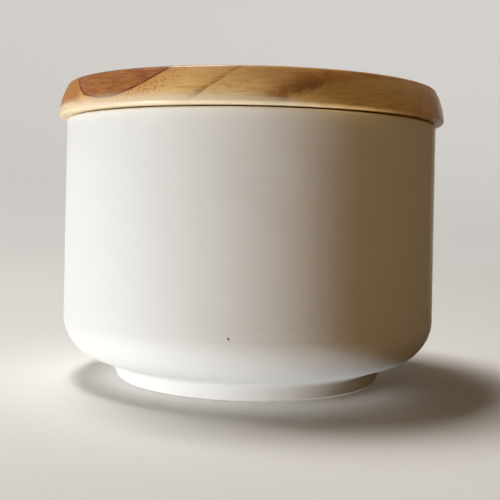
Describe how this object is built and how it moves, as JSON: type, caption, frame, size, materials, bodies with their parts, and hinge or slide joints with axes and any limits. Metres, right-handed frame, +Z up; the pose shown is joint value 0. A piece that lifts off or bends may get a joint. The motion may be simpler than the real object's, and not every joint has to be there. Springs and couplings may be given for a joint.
{
  "type": "canister with wooden lid",
  "caption": "Squat round storage canister: matt off-white ceramic jar with a rounded bottom and a recessed foot ring, and a push-in turned wooden lid with a silicone seal.",
  "frame": {"origin": "centre of the circle that the foot ring stands on", "axes": "+Z up along the jar's turning axis; +X to the right and -Y towards the viewer in the picture"},
  "size_m": [0.125, 0.125, 0.0932],
  "materials": {
    "matt_ceramic": "off-white matt fired clay with fine turning lines, glazed inside",
    "lid_wood": "light softwood with brown growth rings, clear satin lacquer",
    "seal_silicone": "milky white silicone, soft satin"
  },
  "bodies": {
    "jar": {"canister_body": "matt_ceramic"},
    "seal": {"seal_ring": "seal_silicone"},
    "lid": {"wooden_lid": "lid_wood"}
  },
  "joints": [
    {"name": "lid_lift", "type": "slide", "parent": "jar", "child": "seal", "axis": [0, 0, 1], "range_m": [0, 0.06]},
    {"name": "lid_turn", "type": "hinge", "parent": "seal", "child": "lid", "pos_m": [0, 0, 0.0826], "axis": [0, 0, 1], "continuous": true}
  ]
}
